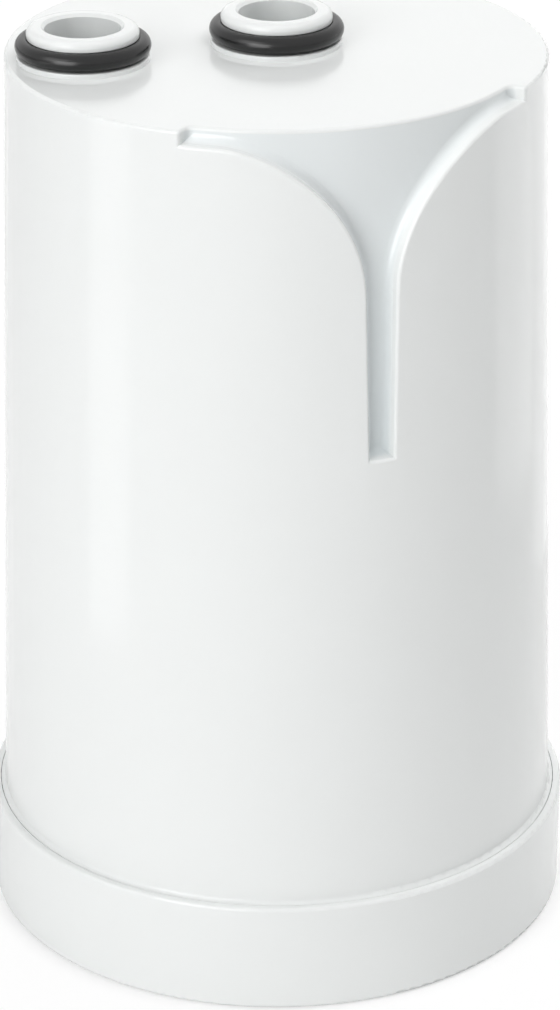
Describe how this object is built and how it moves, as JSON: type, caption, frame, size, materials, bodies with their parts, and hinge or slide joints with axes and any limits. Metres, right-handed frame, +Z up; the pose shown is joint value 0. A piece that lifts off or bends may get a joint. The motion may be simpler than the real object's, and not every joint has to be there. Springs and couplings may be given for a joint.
{
  "type": "faucet water filter cartridge",
  "caption": "Round white cartridge with a wide foot, a Y-shaped guide recess and ringed inlet and outlet ports on top, holding a pleated prefilter around a carbon block and mineral core.",
  "frame": {"origin": "centre of the foot, on the surface the cartridge stands on", "axes": "+Z up along the body's axis, towards the ports; -Y out of the middle of the guide recess; the inlet port lies towards -X"},
  "size_m": [0.06, 0.06, 0.0944],
  "materials": {
    "housing_plastic": "glossy white moulding",
    "seal_rubber": "satin black seal",
    "element_plastic": "natural moulding",
    "potting": "set adhesive",
    "pleated_media": "pleated nonwoven",
    "pressed_carbon": "pressed granular carbon",
    "mineral_granules": "granules"
  },
  "bodies": {
    "root": {"housing": "housing_plastic", "base_cap": "housing_plastic", "inlet_o_ring": "seal_rubber", "outlet_o_ring": "seal_rubber", "top_end_cap": "element_plastic", "spigot_o_ring": "seal_rubber", "top_adhesive": "potting", "pleated_prefilter": "pleated_media", "carbon_block": "pressed_carbon", "core_tube": "element_plastic", "core_strainer": "element_plastic", "mineral_bed": "mineral_granules", "bottom_adhesive": "potting", "bottom_end_cap": "element_plastic"}
  },
  "joints": []
}
